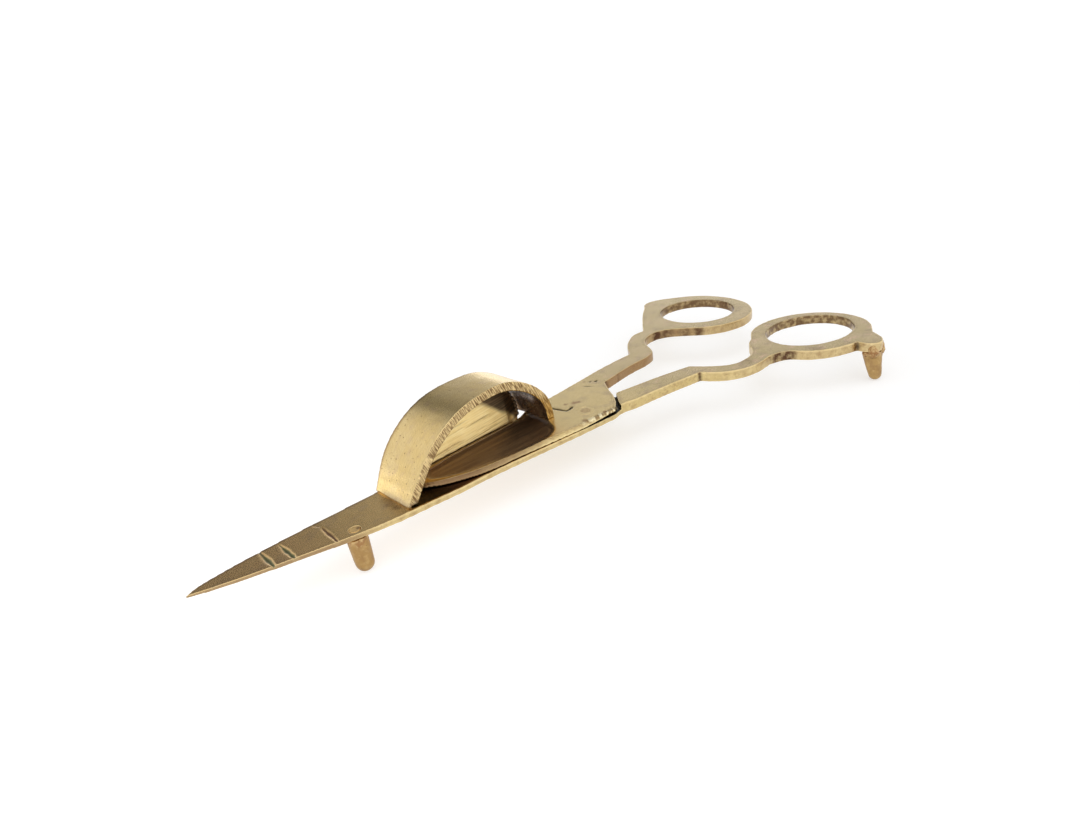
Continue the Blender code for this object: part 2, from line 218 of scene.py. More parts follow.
def add_bead(cage, path, radii):
    """A round bead along a path, which the remesh merges with the piece."""
    for point, radius in zip(path, radii):
        add_ball(cage, point, radius)
    for start, end, near, far in zip(path, path[1:], radii, radii[1:]):
        along = Vector(end) - Vector(start)
        turn = along.to_track_quat("Z", "Y").to_matrix().to_4x4()
        place = Matrix.Translation((Vector(start) + Vector(end)) / 2 * MM) @ turn
        bmesh.ops.create_cone(
            cage, cap_ends=True, segments=18, radius1=near * MM, radius2=far * MM,
            depth=along.length * MM, matrix=place,
        )


def fine_copy(name, node, voxel, beads=()):
    """A fine copy of a CAD node whose facets are rounded into curves and whose corners are kept."""
    cage = bmesh.new()
    cage.from_mesh(frame["nodes"][node].data)
    bmesh.ops.remove_doubles(cage, verts=cage.verts, dist=WELD)
    for path, radii in beads:
        add_bead(cage, path, radii)
    crease = cage.edges.layers.float.new("crease_edge")
    for edge in cage.edges:
        if edge.is_manifold and edge.calc_face_angle() > CORNER_ANGLE:
            edge[crease] = 1.0
    mesh = bpy.data.meshes.new(name)
    cage.to_mesh(mesh)
    cage.free()
    piece = new_object(name, mesh)
    rounding = piece.modifiers.new("rounding", "SUBSURF")
    rounding.levels = 2
    rounding.render_levels = 2
    return settle(piece, voxel)


def wear_masks(mesh, reach=10):
    """Masks for edges that get rubbed, for a border beside them, and for corners that hold dirt."""
    points, edges = get_points(mesh), get_edges(mesh)
    inwards = ((averaged(points, edges, reach) - points) * get_normals(mesh)).sum(axis=1)
    wear = np.clip(-inwards / EDGE_DROP, 0.0, 1.0)
    around = averaged(wear[:, None], edges, reach)[:, 0]
    mask(mesh, "wear", wear)
    mask(mesh, "border", 3.0 * around - 2.2 * wear)
    mask(mesh, "hollow", inwards / CORNER_RISE)


def hand_worked(mesh, seed, flat, sides, rounds=3):
    """Rounds the edges a little and makes the faces uneven, by one depth on flats and another on sides."""
    points, edges = get_points(mesh), get_edges(mesh)
    points = averaged(points, edges, rounds)
    set_points(mesh, points)
    normals = get_normals(mesh)
    upright = ease(np.abs(normals[:, 2]), 0.5, 0.9)
    wave = Noise(seed, 5.0, 5.0, 5.0).at(points) + 0.45 * Noise(seed + 1, 1.7, 1.7, 1.3).at(points)
    depth = flat * upright + sides * (1.0 - upright)
    set_points(mesh, points + normals * (wave * depth)[:, None])


def stands_for(piece, node, body):
    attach(piece, body)
    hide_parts(node)
    return piece


# ---------------------------------------------------------------- lower blade

# Where the CAD's straight cuts are, and how far each reaches to either side
CAD_CUTS_X = (70.4, 66.9, 59.7)
CAD_CUT_REACH = 0.9
# How much longer the tip is than in CAD, before its wear
TIP_STRETCH = 0.55
# Each cut's far end, near end, half width and depth
CUTS = [
    ((70.5, -6.2), (70.4, 0.2), 0.8, 0.33), ((67.0, -5.2), (66.8, 0.9), 0.75, 0.33),
    ((59.1, -4.0), (59.3, 2.5), 0.7, 0.28), ((59.9, -6.3), (59.2, -4.9), 0.5, 0.18),
]
# The inner side of the arch's left foot
ARCH_LEFT_X = 45.4
# Where dirt has gathered on the lower half's sides: x, y and radius
LOWER_STAINS = [
    (-32.7, 11.0, 1.3), (-52.0, 20.0, 3.6), (-53.6, 21.8, 2.4), (-74.6, 32.0, 2.2), (-66.0, 32.4, 0.9),
    (-39.6, 13.6, 2.4), (-54.2, 13.0, 2.2), (-12.0, 4.4, 1.6), (-46.5, 17.6, 1.4),
]
# Brown smudges on its top, by the arch's left foot and on the handle: x, y and radius
BLADE_SMUDGES = [
    (46.2, -2.6, 1.5), (46.3, -0.6, 1.7), (46.2, 1.6, 1.5), (-43.2, 16.6, 3.0), (-58.0, 27.0, 2.4),
]
# The rings' holes: x, y and radius
NEAR_HOLE, FAR_HOLE = (-69.0, 18.2, 12.4), (-69.2, -18.3, 11.0)
# The line where the upper plate's lap ends on the lower half
LAP_END = [(-14.0, 1.6, 0.0), (-12.9, 2.8, 0.0), (-10.6, 5.6, 0.0), (-9.2, 7.7, 0.0)]


def flat_plan(points):
    return points * np.array([1.0, 1.0, 0.0])


def sideways(normals):
    """1 on sides and 0 on faces that look up or down."""
    return 1.0 - ease(np.abs(normals[:, 2]), 0.4, 0.8)


def in_hole(points, normals, hole):
    """1 on the wall of a ring's hole."""
    x, y = points[:, 0] - hole[0], points[:, 1] - hole[1]
    faces_middle = -(x * normals[:, 0] + y * normals[:, 1]) / np.maximum(np.hypot(x, y), 1.0)
    return ease(faces_middle, 0.2, 0.6) * (np.hypot(x, y) < hole[2] + 1.0)


def edge_y(points, normals, side=1.0):
    """The y of the near edge at each point's x, measured on the mesh, or of the far edge if side is -1."""
    outer = (normals[:, 1] * side > 0.7) & (points[:, 0] > -8.0)
    x, y = points[outer, 0], points[outer, 1] * side
    steps = np.arange(-8.0, x.max(), 1.0)
    furthest = [y[(x > step - 1.0) & (x < step + 1.0)].max() for step in steps]
    return np.interp(points[:, 0], steps, furthest) * side


def carve_cuts(points, normals, seed):
    """Fills the CAD's straight cuts and cuts uneven ones in their place. Gives the points and a mask."""
    top = (normals[:, 2] > 0.3) & (points[:, 2] > BLADE_TOP - 0.55)
    for x in CAD_CUTS_X:
        across = top & (np.abs(points[:, 0] - x) < CAD_CUT_REACH)
        points[across, 2] = np.maximum(points[across, 2], BLADE_TOP)
    depth_at = np.zeros(len(points))
    wander = Noise(seed, 1.1, 1.1, 1.1).at(points)
    for far, near, half_width, depth in CUTS:
        gap, place = from_path(flat_plan(points), [(*far, 0.0), (*near, 0.0)])
        spindle = np.sin(np.pi * np.clip(0.08 + 0.84 * place, 0.0, 1.0)) ** 0.7
        shape = ease(-gap - 0.12 * wander, -half_width * spindle - 0.04, 0.02)
        depth_at = np.maximum(depth_at, shape * depth * (0.65 + 0.35 * place))
    up = ease(normals[:, 2], 0.2, 0.7) * (points[:, 2] > BLADE_TOP - 0.6)
    points[:, 2] -= depth_at * up
    return points, ease(depth_at * up, 0.08, 0.22)


def make_lower_blade():
    piece = fine_copy("lower_blade_brass", "lower_blade", PLATE_VOXEL)
    mesh = piece.data
    points, normals = get_points(mesh), get_normals(mesh)
    points, cut_mask = carve_cuts(points, normals, seed=14)
    points[:, 0] += TIP_STRETCH * ease(points[:, 0], TIP_X - 6.0, TIP_X)
    set_points(mesh, points)
    hand_worked(mesh, seed=11, flat=0.018, sides=0.06)
    points, normals = get_points(mesh), get_normals(mesh)
    x, y, z = points.T
    edge = edge_y(points, normals)
    in_box = ease(ARCH_LEFT_X - 0.6 - x, 0.0, 1.5) * ease(x, 6.0, 9.0)
    gap, _ = from_path(flat_plan(points), LAP_END)
    # Painted shade: black in the gap at the upper plate's lap end and along the seam under the lap
    gap_shade = ease(-gap, -1.1, -0.5) * ease(-z, -9.85, -9.6) * ease(z, 8.4, 8.8) * ease(-y, -7.9, -7.5)
    lap_seam_shade = ease(y - edge, -1.7, -1.1) * ease(x, -10.2, -9.4) * ease(-x, -6.0, 0.0)
    lap_seam_shade *= ease(normals[:, 2], 0.3, 0.6) * (z < BLADE_TOP + 0.3)
    far_rim = ease(edge_y(points, normals, side=-1.0) - y, -0.9, -0.3) * ease(x, 44.0, 46.0)
    near_side = ease(x, 50.0, 60.0) * sideways(normals)
    smudge = near_spots(points, BLADE_SMUDGES) * ease(normals[:, 2], 0.4, 0.8)
    smudge *= 0.35 + 0.25 * Noise(15, 0.8, 0.8, 0.8).at(points)
    wear_masks(mesh)
    mask(mesh, "cut", cut_mask)
    # Painted shade with soot: the blade's top inside the box, under the arch, is darkened
    mask(mesh, "soot_and_arch_shade", in_box * ease(edge - y, 0.3, 0.8) * ease(normals[:, 2], 0.5, 0.8))
    mask(mesh, "crack_and_gap_shade", np.maximum(gap_shade, lap_seam_shade))
    mask(mesh, "brown", np.maximum(np.maximum(0.75 * far_rim, 0.55 * near_side), smudge))
    mask(mesh, "stain", near_spots(points, LOWER_STAINS) * sideways(normals))
    mask(mesh, "hole", in_hole(points, normals, NEAR_HOLE))
    return stands_for(piece, "lower_blade", LOWER)


# ---------------------------------------------------------------- upper blade

# Lines on the upper plate: a crack beside the arch's right foot, the leaf's end, where a highlight is
# painted, and a scratch
CRACK = [(1.4, -5.6, 0.0), (0.4, -1.6, 0.0), (0.0, -0.3, 0.0), (-0.9, -0.2, 0.0), (-1.9, -0.7, 0.0)]
LEAF_END = [(5.6, -8.4, 0.0), (5.5, -6.0, 0.0), (5.4, -3.0, 0.0), (6.0, 0.0, 0.0)]
SCRATCH = [(-11.6, -7.2, 0.0), (-13.1, -4.9, 0.0)]
# Pits, red spots, and where dirt has gathered on the sides: x, y and radius
PITS = [(-1.6, -0.5, 0.55), (-0.8, -0.1, 0.4), (-15.8, -6.8, 0.6), (-14.7, -7.6, 0.4)]
RED_SPOTS = [
    (-3.9, -1.9, 1.0), (-4.8, -1.4, 0.8), (-2.2, -3.0, 0.7), (1.2, 6.9, 0.9), (-4.4, 7.6, 0.8),
    (-13.9, -9.0, 0.5),
]
UPPER_STAINS = [
    (-49.5, -16.5, 2.2), (-51.2, -14.2, 3.4), (-53.8, -10.8, 3.4), (-56.6, -8.0, 2.6), (-48.0, -19.4, 2.4),
    (-33.6, -11.8, 1.5), (-16.4, -4.6, 1.8), (-22.0, -6.4, 1.4), (-38.2, -8.8, 2.2), (-48.4, -21.0, 1.8),
]
# How far the upper plate's underside comes down along the leaf, and goes up at the lap's end
LAP_SAG = 0.18
LAP_GAPE = 0.28
# The depth of the leaf's hollow in CAD and here, and of what is cut into the plate
CAD_LEAF_DEPTH = 0.4
LEAF_DEPTH = 0.45
MARK_DEPTH = 0.22
NICK_STEP = 0.07
# Turns x and y into places across the nicks at the plate's edge and along them
EDGE_TURN = np.array([[1.0, 0.35, 0.0], [-0.35, 1.0, 0.0], [0.0, 0.0, 1.0]])
RIVET_MARK_RADIUS = 1.35
# How much wider the rivet is than in CAD
RIVET_SPREAD = 1.11


def leaf_floor_outline():
    """The outline of the CAD leaf's hollow, from the corners of its floor."""
    points = get_points(frame["nodes"]["upper_blade"].data)
    floor = points[np.abs(points[:, 2] - (PLATE_TOP - CAD_LEAF_DEPTH)) < 0.02][:, :2]
    floor = np.unique(np.round(floor, 3), axis=0)
    x, y = (floor - floor.mean(axis=0)).T
    return floor[np.argsort(np.arctan2(y, x))]


def inside(points, outline):
    """Whether each point is inside a closed outline, in plan."""
    x, y = points[:, 0], points[:, 1]
    within = np.zeros(len(points), bool)
    for (ax, ay), (bx, by) in zip(outline, np.roll(outline, -1, axis=0)):
        crosses = (ay > y) != (by > y)
        with np.errstate(divide="ignore", invalid="ignore"):
            at = ax + (y - ay) * (bx - ax) / (by - ay)
        within ^= crosses & (x < at)
    return within


def shape_lap(points):
    """Closes the seam below the leaf and opens a gap at the lap's end."""
    lapped = ease(points[:, 0] - 0.5 * points[:, 1], -13.0, -11.5) * ease(-points[:, 2], -9.5, -9.3)
    opening = ease(-points[:, 0], -4.0, 8.5)
    points[:, 2] += (LAP_GAPE * opening - LAP_SAG * (1.0 - opening)) * lapped
    return points


def dish_leaf(points, normals):
    """Hollows the leaf and leans its side outwards. Gives the points, each one's distance from the
    hollow's rim, positive inside it, and whether it is in the hollow."""
    outline = leaf_floor_outline()
    loop = [(x, y, 0.0) for x, y in outline]
    gap, _ = from_path(flat_plan(points), loop + loop[:1])
    gap = np.where(inside(points, outline), gap, -gap)
    lip = 0.2 + 0.55 * ease(points[:, 0], 9.0, 13.0)
    on_leaf = (points[:, 2] > PLATE_TOP - 0.55) & (gap > -lip) & (normals[:, 2] > -0.2)
    dished = PLATE_TOP - ease(gap + lip, 0.0, 1.1 + lip) * LEAF_DEPTH
    dished = np.where(gap > -0.3, dished, np.minimum(dished, points[:, 2]))
    points[:, 2] = np.where(on_leaf, dished, points[:, 2])
    leaned = ease(normals[:, 1], 0.2, 0.7) * ease(points[:, 0], -7.0, -3.0)
    points[:, 1] += leaned * (PLATE_TOP - LEAF_DEPTH - points[:, 2]) * 0.6
    return points, gap + lip, on_leaf


def surface_marks(points):
    """How deep each point is in a crack, a scratch or a pit, whose outlines wander a little."""
    wander = Noise(24, 0.7, 0.7, 0.7)
    offset = np.stack([wander.at(points), wander.at(points + 9.0), np.zeros(len(points))], axis=1)
    shifted = flat_plan(points) + 0.16 * offset
    gap_to_crack, place = from_path(shifted, CRACK)
    crack_and_gap_shade = ease(-gap_to_crack, -0.45, -0.1) * (1.0 - 0.25 * place)
    gap_to_scratch, along = from_path(shifted, SCRATCH)
    scratch = ease(-gap_to_scratch, -0.22, -0.04) * np.sin(np.pi * np.clip(along, 0.05, 0.95))
    return np.maximum(np.maximum(crack_and_gap_shade, near_spots(shifted, PITS)), 0.55 * scratch)


def make_upper_blade():
    piece = fine_copy("upper_blade_brass", "upper_blade", PLATE_VOXEL)
    mesh = piece.data
    hand_worked(mesh, seed=21, flat=0.018, sides=0.06)
    points, normals = get_points(mesh), get_normals(mesh)
    points = shape_lap(points)
    points, within, on_leaf = dish_leaf(points, normals)
    up = ease(normals[:, 2], 0.2, 0.7)
    strokes = Noise(27, 0.4, 1.8, 1.0).at(points @ EDGE_TURN)
    along_edge = ease(points[:, 0], -8.5, -7.0) * ease(-points[:, 0], -4.5, 0.5)
    by_edge = ease(points[:, 1] - edge_y(points, normals), -1.5, -0.8) * along_edge
    by_edge *= ease(normals[:, 2], -0.3, 0.1)
    nicks = by_edge * ease(strokes, -0.25, 0.25)
    points[:, 2] -= NICK_STEP * (by_edge - nicks)
    marks = surface_marks(points) * up
    points[:, 2] -= MARK_DEPTH * marks
    set_points(mesh, points)
    x = points[:, 0]
    end_gap, end_place = from_path(flat_plan(points), LEAF_END)
    on_handle = ease(-x, 12.0, 18.0) - 0.4 * ease(-x, 34.0, 42.0) - 0.35 * ease(-x, 54.0, 60.0)
    leaf_side = 0.6 * ease(x, 10.0, 21.0) + 0.25 * ease(x, 22.0, 32.0)
    leaf_side *= ease(normals[:, 1], 0.1, 0.5)
    wear_masks(mesh)
    mask(mesh, "leaf", ease(within, 0.1, 0.8) * on_leaf)
    # Painted highlight: a pale band along the leaf's raised end
    mask(mesh, "lip", ease(-end_gap, -1.0, -0.45) * (1.0 - 0.75 * end_place) * on_leaf)
    mask(mesh, "crack_and_gap_shade", marks)
    mask(mesh, "stain", near_spots(points, UPPER_STAINS) * sideways(normals))
    mask(mesh, "red", near_spots(points, RED_SPOTS) * up)
    mask(mesh, "hole", in_hole(points, normals, FAR_HOLE))
    mask(mesh, "dull", sideways(normals) * on_handle)
    mask(mesh, "bright", nicks)
    mask(mesh, "brown", np.maximum(0.5 * (by_edge - nicks), leaf_side))
    return stands_for(piece, "upper_blade", UPPER)


def make_rivet():
    piece = fine_copy("pivot_rivet_brass", "pivot_rivet", FOOT_VOXEL)
    mesh = piece.data
    points = get_points(mesh)
    axis = np.array([PIVOT.x, PIVOT.y, 0.0])
    points = (points - axis) * np.array([RIVET_SPREAD, RIVET_SPREAD, 1.0]) + axis
    set_points(mesh, points)
    from_axis = np.hypot(points[:, 0] - PIVOT.x, points[:, 1] - PIVOT.y)
    from_axis += 0.15 * Noise(33, 0.9, 0.9, 0.9).at(points)
    mask(mesh, "red", 0.62 * ease(-from_axis, -RIVET_MARK_RADIUS, -RIVET_MARK_RADIUS + 0.3))
    return stands_for(piece, "pivot_rivet", LOWER)


# ---------------------------------------------------------------- wick box

ARCH_MEAN_RADIUS = 18.0
# The distance across the file's strokes is FILE_X times x, less FILE_Z times z
FILE_X, FILE_Z = 0.92, 0.4
# Turns x and z into the distance across the file's strokes and along them
FILE_TURN = np.array([[FILE_X, 0.0, FILE_Z], [0.0, 1.0, 0.0], [-FILE_Z, 0.0, FILE_X]])
# How much thicker the back plate is at its foot
BACK_LEAN = 1.6
# How far the back plate's scratches slope from its foot
SCORED_SLOPE = 0.07
# How far its face turns upwards in its material's bump, as a slope
BACK_DISH = 0.16
RIM_BEAD_RADIUS = 0.38
# How deep the file's strokes are on the arch's near face and on its edge, and its solder's lumps
FILED_DEPTH, BURR_HEIGHT, SOLDER_LUMP = 0.02, 0.03, 0.05
# How far its right foot comes down onto the leaf
RIGHT_FOOT_DROP = 0.24
SCORED_DEPTH = 0.06
# The line of solder along the arch's left foot
LEFT_FOOT_SOLDER = [(45.8, -4.6, 8.7), (45.9, -0.6, 8.7), (45.4, 3.2, 8.7)]
# Beads of solder: points and radii
UNDER_LEFT_FOOT = ([(44.9, -7.8, 8.8), (44.6, 3.6, 8.8)], [0.5, 0.5])
BACK_SOLDER = (
    [(7.4, -9.7, 8.8), (16.0, -8.9, 8.8), (26.0, -8.4, 8.8), (36.0, -7.8, 8.8), (43.0, -7.4, 8.8)],
    [0.4, 0.6, 0.55, 0.6, 0.5],
)
OUTSIDE_SOLDER = (
    [(9.0, -10.4, 8.7), (18.0, -9.9, 8.7), (30.0, -9.2, 8.7), (42.0, -8.5, 8.7)],
    [0.45, 0.6, 0.55, 0.6],
)


def strip_edge(points, normals, side):
    """The y of the arch's near face at each point's x, as a smooth curve, or of the far one if side is -1."""
    face = points[normals[:, 1] * side > 0.8]
    return np.polyval(np.polyfit(face[:, 0], face[:, 1], 2), points[:, 0])


def make_arch():
    piece = fine_copy("box_arch_brass", "box_arch", ARCH_VOXEL, [UNDER_LEFT_FOOT])
    mesh = piece.data
    hand_worked(mesh, seed=41, flat=0.03, sides=0.03, rounds=2)
    points, normals = get_points(mesh), get_normals(mesh)
    low, high = [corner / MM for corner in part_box("box_arch")]
    rise, run = points[:, 2] - low.z, points[:, 0] - (low.x + high.x) / 2
    radius = np.hypot(rise, run)
    arc = np.arctan2(rise, run) * ARCH_MEAN_RADIUS
    strokes = points @ FILE_TURN
    teeth = Noise(44, 0.4, 1.0, 2.2).at(strokes) + 0.4 * Noise(45, 1.5, 1.0, 1.5).at(strokes)
    near_face = ease(normals[:, 1], 0.35, 0.8)
    far_rim = ease(strip_edge(points, normals, -1.0) - points[:, 1], -0.9, -0.2)
    from_edge = strip_edge(points, normals, 1.0) - points[:, 1]
    outwards = (run * normals[:, 0] + rise * normals[:, 2]) / np.maximum(radius, 1.0)
    burr = ease(-from_edge, -0.5, -0.05) * ease(outwards, 0.1, 0.6) * (1.0 - near_face)
    filed = near_face * FILED_DEPTH * teeth + burr * BURR_HEIGHT * ease(teeth, -0.2, 0.6)
    points = points + normals * filed[:, None]
    low_right_leg = ease(-points[:, 0], -12.0, -8.0) * ease(-points[:, 2], -12.5, -11.0)
    points[:, 2] -= RIGHT_FOOT_DROP * low_right_leg
    gap, _ = from_path(points, LEFT_FOOT_SOLDER)
    low_left_leg = ease(-points[:, 2], -10.2, -8.9) * ease(points[:, 0], 40.0, 42.0)
    solder = np.maximum(ease(-gap, -1.15, -0.3), 0.75 * low_left_leg) * ease(points[:, 1], -6.5, -3.0)
    lumps = Noise(47, 0.55, 0.55, 0.55).at(points)
    points = points + normals * (solder * SOLDER_LUMP * lumps)[:, None]
    set_points(mesh, points)
    inner = ease(-outwards, 0.0, 0.35) * (1.0 - near_face) * ease(-points[:, 0], -34.0, -24.0)
    wear_masks(mesh)
    mask(mesh, "teeth", near_face)
    # Painted shade: a brown band along the arch's rounded far edge
    mask(mesh, "brown", 0.6 * far_rim)
    # The arch's inner face, which the material darkens with soot and painted shade
    mask(mesh, "inner", inner)
    mask(mesh, "solder", solder)
    mask(mesh, "shade", ease(-points[:, 0], -30.0, -16.0))
    measure(mesh, "arc", arc)
    measure(mesh, "radius", radius)
    return stands_for(piece, "box_arch", LOWER)


def back_plate_rim():
    """The plate's curved edge from foot to foot, as points at its middle thickness."""
    points = get_points(frame["nodes"]["box_back_plate"].data)
    x, _, z = (points - points.mean(axis=0)).T
    ring = points[np.argsort(np.arctan2(z, x))].reshape(-1, 2, 3).mean(axis=1)
    rim = [tuple(point) for point in ring if point[2] > BLADE_TOP + 0.4]
    start = max(range(len(rim)), key=lambda i: math.dist(rim[i - 1], rim[i]))
    return rim[start:] + rim[:start]


def make_back_plate():
    rim = back_plate_rim()
    beads = [(rim, [RIM_BEAD_RADIUS] * len(rim)), BACK_SOLDER, OUTSIDE_SOLDER]
    piece = fine_copy("box_back_plate_brass", "box_back_plate", BACK_VOXEL, beads)
    mesh = piece.data
    hand_worked(mesh, seed=51, flat=0.03, sides=0.05, rounds=2)
    points, normals = get_points(mesh), get_normals(mesh)
    across = points[:, 2] + SCORED_SLOPE * points[:, 0]
    scored = np.stack([points[:, 0], 8.0 * across, points[:, 1]], axis=1)
    strokes = Noise(54, 9.0, 4.0, 4.0).at(scored)
    points = points - normals * (SCORED_DEPTH * ease(strokes, 0.2, 0.7))[:, None]
    lean = BACK_LEAN * ease(points[:, 0], 7.0, 11.0) * ease(-points[:, 0], -44.0, -38.0)
    points[:, 1] += ease(normals[:, 1], 0.3, 0.8) * lean * (1.0 - (points[:, 2] - BLADE_TOP) / 13.0)
    set_points(mesh, points)
    shaded = 8.6 + (points[:, 2] - 9.8) * 1.25 - points[:, 0]
    shaded += 0.8 * Noise(56, 2.5, 2.5, 2.5).at(points)
    wear_masks(mesh)
    mask(mesh, "solder", 0.5 * ease(-points[:, 2], -9.9, -9.3))
    mask(mesh, "shade", ease(normals[:, 1], -0.2, 0.2) * ease(shaded, -0.8, 1.2))
    measure(mesh, "arc", points[:, 0])
    measure(mesh, "radius", across)
    return stands_for(piece, "box_back_plate", LOWER)


# ---------------------------------------------------------------- feet

# Lumps of braze and peened metal: points and radii
FRONT_FOOT_BEADS = [
    ([(55.3, 1.7, 8.3), (55.3, 1.7, 8.76)], [1.13, 1.13]),
    ([(55.3, 1.6, 7.2), (55.3, 1.7, 7.65)], [1.95, 1.6]),
]
COLLAR_RADII = [0.6, 0.75, 0.7, 0.6]
NEAR_FOOT_BEADS = [
    ([(-68.8, 34.9, 6.6), (-68.8, 34.8, 7.5)], [2.1, 1.9]),
    ([(-66.8, 34.2, 7.0), (-67.6, 36.2, 7.2), (-70.0, 36.0, 7.2), (-71.2, 34.6, 7.1)], COLLAR_RADII),
    ([(-70.6, 35.6, 7.2), (-71.2, 35.5, 9.0)], [1.6, 1.0]),
    ([(-67.6, 35.9, 7.2), (-67.2, 35.8, 8.6)], [1.4, 0.9]),
    ([(-72.2, 34.9, 8.6), (-74.0, 33.2, 9.0)], [0.8, 0.6]),
]
FAR_FOOT_BEADS = [
    ([(-68.8, -34.9, 6.6), (-68.8, -34.8, 7.5)], [2.1, 1.9]),
    ([(-66.8, -34.2, 7.0), (-67.6, -36.0, 7.2), (-70.0, -35.8, 7.2), (-71.2, -34.6, 7.1)], COLLAR_RADII),
]
# A dark crescent beside the front foot's tenon: x, y and radius
TENON_CRESCENT = [(54.6, 1.9, 0.7)]
BRAZE_LUMP = 0.14


def make_foot(name, node, body, seed, beads, highest):
    """A foot with its lumps, none of which goes above the highest z."""
    piece = fine_copy(name, node, FOOT_VOXEL, beads)
    mesh = piece.data
    hand_worked(mesh, seed, flat=0.05, sides=0.1, rounds=4)
    wear_masks(mesh)
    points = get_points(mesh)
    lumps = Noise(seed + 3, 0.7, 0.7, 0.7).at(points)
    braze = ease(points[:, 2] + 0.7 * lumps, 5.9, 6.9)
    points = points + get_normals(mesh) * (braze * BRAZE_LUMP * lumps)[:, None]
    points[:, 2] = np.minimum(points[:, 2], highest + 0.02 * lumps)
    set_points(mesh, points)
    on_top = ease(points[:, 2], 8.3, 8.5)
    mask(mesh, "braze", braze)
    mask(mesh, "tenon", on_top * (points[:, 0] > 0.0))
    mask(mesh, "crescent", near_spots(points, TENON_CRESCENT) * on_top)
    return stands_for(piece, node, body)


# ---------------------------------------------------------------- materials

class Brass:
    """A material built node by node. Its texture coordinates are the piece's own, in millimetres."""

    def __init__(self, name):
        self.material = bpy.data.materials.new(name)
        self.material.use_nodes = True
        self.tree = self.material.node_tree
        self.shader = self.tree.nodes["Principled BSDF"]
        place = self.add("ShaderNodeTexCoord")
        scaled = self.add("ShaderNodeVectorMath", {0: place.outputs["Object"]}, operation="SCALE")
        scaled.inputs["Scale"].default_value = 1.0 / MM
        self.place = scaled.outputs["Vector"]

    def add(self, kind, inputs=None, **settings):
        made = self.tree.nodes.new(kind)
        for key, value in settings.items():
            setattr(made, key, value)
        for key, value in (inputs or {}).items():
            self.fill(made.inputs[key], value)
        return made

    def fill(self, socket, value):
        """Links a socket's value, or sets a plain one."""
        if isinstance(value, bpy.types.NodeSocket):
            self.tree.links.new(value, socket)
        elif socket.type == "RGBA":
            socket.default_value = (*value, 1.0)
        else:
            socket.default_value = value

    def math(self, operation, a, b=0.0):
        """One number, as a socket, from a sum, a product or the like."""
        return self.add("ShaderNodeMath", {0: a, 1: b}, operation=operation).outputs[0]

    def times(self, a, b):
        return self.math("MULTIPLY", a, b)

    def between(self, value, low, high, to_low=0.0, to_high=1.0):
        """A smooth step from one number to another as the value goes from low to high."""
        inputs = {"Value": value, "From Min": low, "From Max": high, "To Min": to_low, "To Max": to_high}
        return self.add("ShaderNodeMapRange", inputs, interpolation_type="SMOOTHSTEP").outputs["Result"]

    def stretched(self, *scale):
        return self.add("ShaderNodeMapping", {"Vector": self.place, "Scale": scale}).outputs["Vector"]

    def noise(self, scale, detail=3.0, vector=None, roughness=0.55):
        inputs = {"Vector": vector or self.place, "Scale": scale, "Detail": detail, "Roughness": roughness}
        return self.add("ShaderNodeTexNoise", inputs).outputs["Fac"]

    def mask(self, name):
        """What measure or mask kept on the mesh, and 0 where the mesh has none of that name."""
        return self.add("ShaderNodeAttribute", attribute_name=name).outputs["Fac"]

    def mixed(self, share, a, b):
        """Colour a, with a share of colour b in it."""
        made = self.add("ShaderNodeMix", data_type="RGBA")
        for socket, value in ((made.inputs[0], share), (made.inputs[6], a), (made.inputs[7], b)):
            self.fill(socket, value)
        return made.outputs[2]

    def joined(self, x, y, z):
        return self.add("ShaderNodeCombineXYZ", {"X": x, "Y": y, "Z": z}).outputs["Vector"]

    def upward(self):
        """1 on faces that look up or down and 0 on the sides."""
        normal = self.add("ShaderNodeNewGeometry").outputs["Normal"]
        height = self.add("ShaderNodeSeparateXYZ", {0: normal}).outputs["Z"]
        return self.between(self.math("ABSOLUTE", height), 0.5, 0.8)

    def along_x(self, low, high):
        x = self.add("ShaderNodeSeparateXYZ", {0: self.place}).outputs["X"]
        return self.between(x, low, high)

    def spread(self, scale, detail, low, high, share=1.0):
        """Patches of noise, from 0 to the share."""
        patches = self.between(self.noise(scale, detail), low, high)
        return self.times(patches, share) if share < 1.0 else patches

    def lines(self, across, along, detail=3.0, roughness=0.55):
        """Noise drawn out into lines, from the distances across and along them."""
        return self.noise(1.0, detail, self.joined(across, along, 0.0), roughness)

    def finish(self, colour, roughness, height, depth, metallic=1.0):
        bump = self.add("ShaderNodeBump", {"Height": height, "Distance": depth * MM, "Strength": 1.0})
        for key, value in (("Base Color", colour), ("Roughness", roughness), ("Metallic", metallic)):
            self.fill(self.shader.inputs[key], value)
        self.tree.links.new(bump.outputs["Normal"], self.shader.inputs["Normal"])
        return self.material


# The metal's colours, piece by piece
GREY_BRASS = (0.74, 0.58, 0.33)
OLIVE_BRASS = (0.67, 0.53, 0.27)
PINK_BRASS = (0.80, 0.58, 0.37)
PLATE_BRASS = (0.84, 0.65, 0.31)
BRONZE = (0.80, 0.54, 0.22)
RED_BRONZE = (0.80, 0.51, 0.22)
RING_SIDE = (0.63, 0.48, 0.24)
GOLD_SIDE = (0.66, 0.51, 0.23)
BROWN_SIDE = (0.40, 0.27, 0.14)
PALE_GOLD = (0.86, 0.70, 0.38)
BRIGHT_GOLD = (0.98, 0.86, 0.55)
